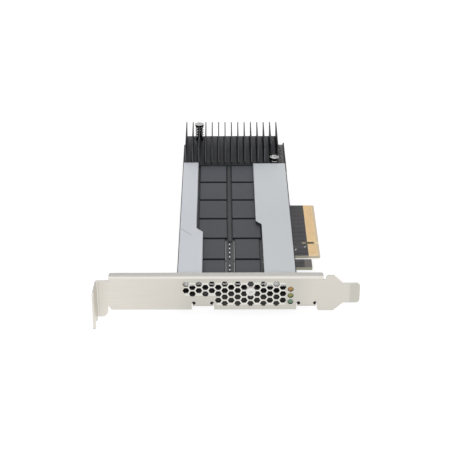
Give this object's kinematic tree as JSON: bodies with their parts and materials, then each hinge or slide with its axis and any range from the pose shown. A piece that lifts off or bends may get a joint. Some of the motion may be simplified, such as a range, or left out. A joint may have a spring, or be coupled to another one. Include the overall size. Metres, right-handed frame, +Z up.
{
  "type": "pcie flash storage card",
  "caption": "Half-length storage card for an eight-lane slot: vented bracket, black board, raised memory board with flat chips, silver side covers and a finned heat sink.",
  "frame": {"origin": "middle of the edge connector's key slot, on the finger's end edge, half-way through the main board", "axes": "+X out of the finger into the slot, +Y from the bracket to the card's rear end, +Z up from the component side"},
  "size_m": [0.1205, 0.1801, 0.0225],
  "materials": {
    "bracket_nickel": "brushed nickel plate",
    "screw_steel": "zinc plated",
    "post_metal": "plain",
    "gold": "gold plated",
    "solder_mask": "black solder mask",
    "connector_plastic": "moulded",
    "chip_mould": "moulded, matt",
    "strip_rubber": "matt",
    "capacitor_ceramic": "ceramic",
    "controller_laminate": "laminate",
    "lid_metal": "plated",
    "pad_rubber": "soft pad",
    "anodised_black": "black anodised",
    "cover_silver": "silver painted, fine grain",
    "spring_steel": "drawn wire",
    "spacer_metal": "turned",
    "ferrite": "pressed",
    "tantalum_case": "moulded",
    "lens_amber": "clear tinted",
    "lens_lime": "clear tinted",
    "lens_green": "clear tinted",
    "rail_plastic": "moulded"
  },
  "bodies": {
    "root": {"board_spacers": "spacer_metal", "bracket": "bracket_nickel", "bracket_face_screw": "screw_steel", "bracket_post": "post_metal", "bracket_screws": "screw_steel", "centre_capacitors": "capacitor_ceramic", "centre_strip_front": "strip_rubber", "centre_strip_rear": "strip_rubber", "connector_plug_left": "connector_plastic", "connector_plug_right": "connector_plastic", "connector_socket_left": "connector_plastic", "connector_socket_right": "connector_plastic", "controller_lid": "lid_metal", "controller_substrate": "controller_laminate", "cover_screws": "screw_steel", "edge_contacts_bottom": "gold", "edge_contacts_top": "gold", "edge_rail": "rail_plastic", "heat_sink": "anodised_black", "heat_sink_nuts": "screw_steel", "heat_sink_screw_front": "screw_steel", "heat_sink_screw_rear": "screw_steel", "heat_sink_spring_front": "spring_steel", "heat_sink_spring_rear": "spring_steel", "left_cover": "cover_silver", "light_holder": "connector_plastic", "light_lens_amber": "lens_amber", "light_lens_green": "lens_green", "light_lens_lime": "lens_lime", "main_board": "solder_mask", "memory_board": "solder_mask", "memory_chip_left_1": "chip_mould", "memory_chip_left_2": "chip_mould", "memory_chip_left_3": "chip_mould", "memory_chip_left_4": "chip_mould", "memory_chip_left_5": "chip_mould", "memory_chip_left_6": "chip_mould", "memory_chip_right_1": "chip_mould", "memory_chip_right_2": "chip_mould", "memory_chip_right_3": "chip_mould", "memory_chip_right_4": "chip_mould", "memory_chip_right_5": "chip_mould", "memory_chip_right_6": "chip_mould", "power_inductor_1": "ferrite", "power_inductor_2": "ferrite", "power_inductor_3": "ferrite", "regulator_chip_1": "chip_mould", "regulator_chip_2": "chip_mould", "right_cover": "cover_silver", "tantalum_capacitors": "tantalum_case", "thermal_pad": "pad_rubber"}
  },
  "joints": []
}
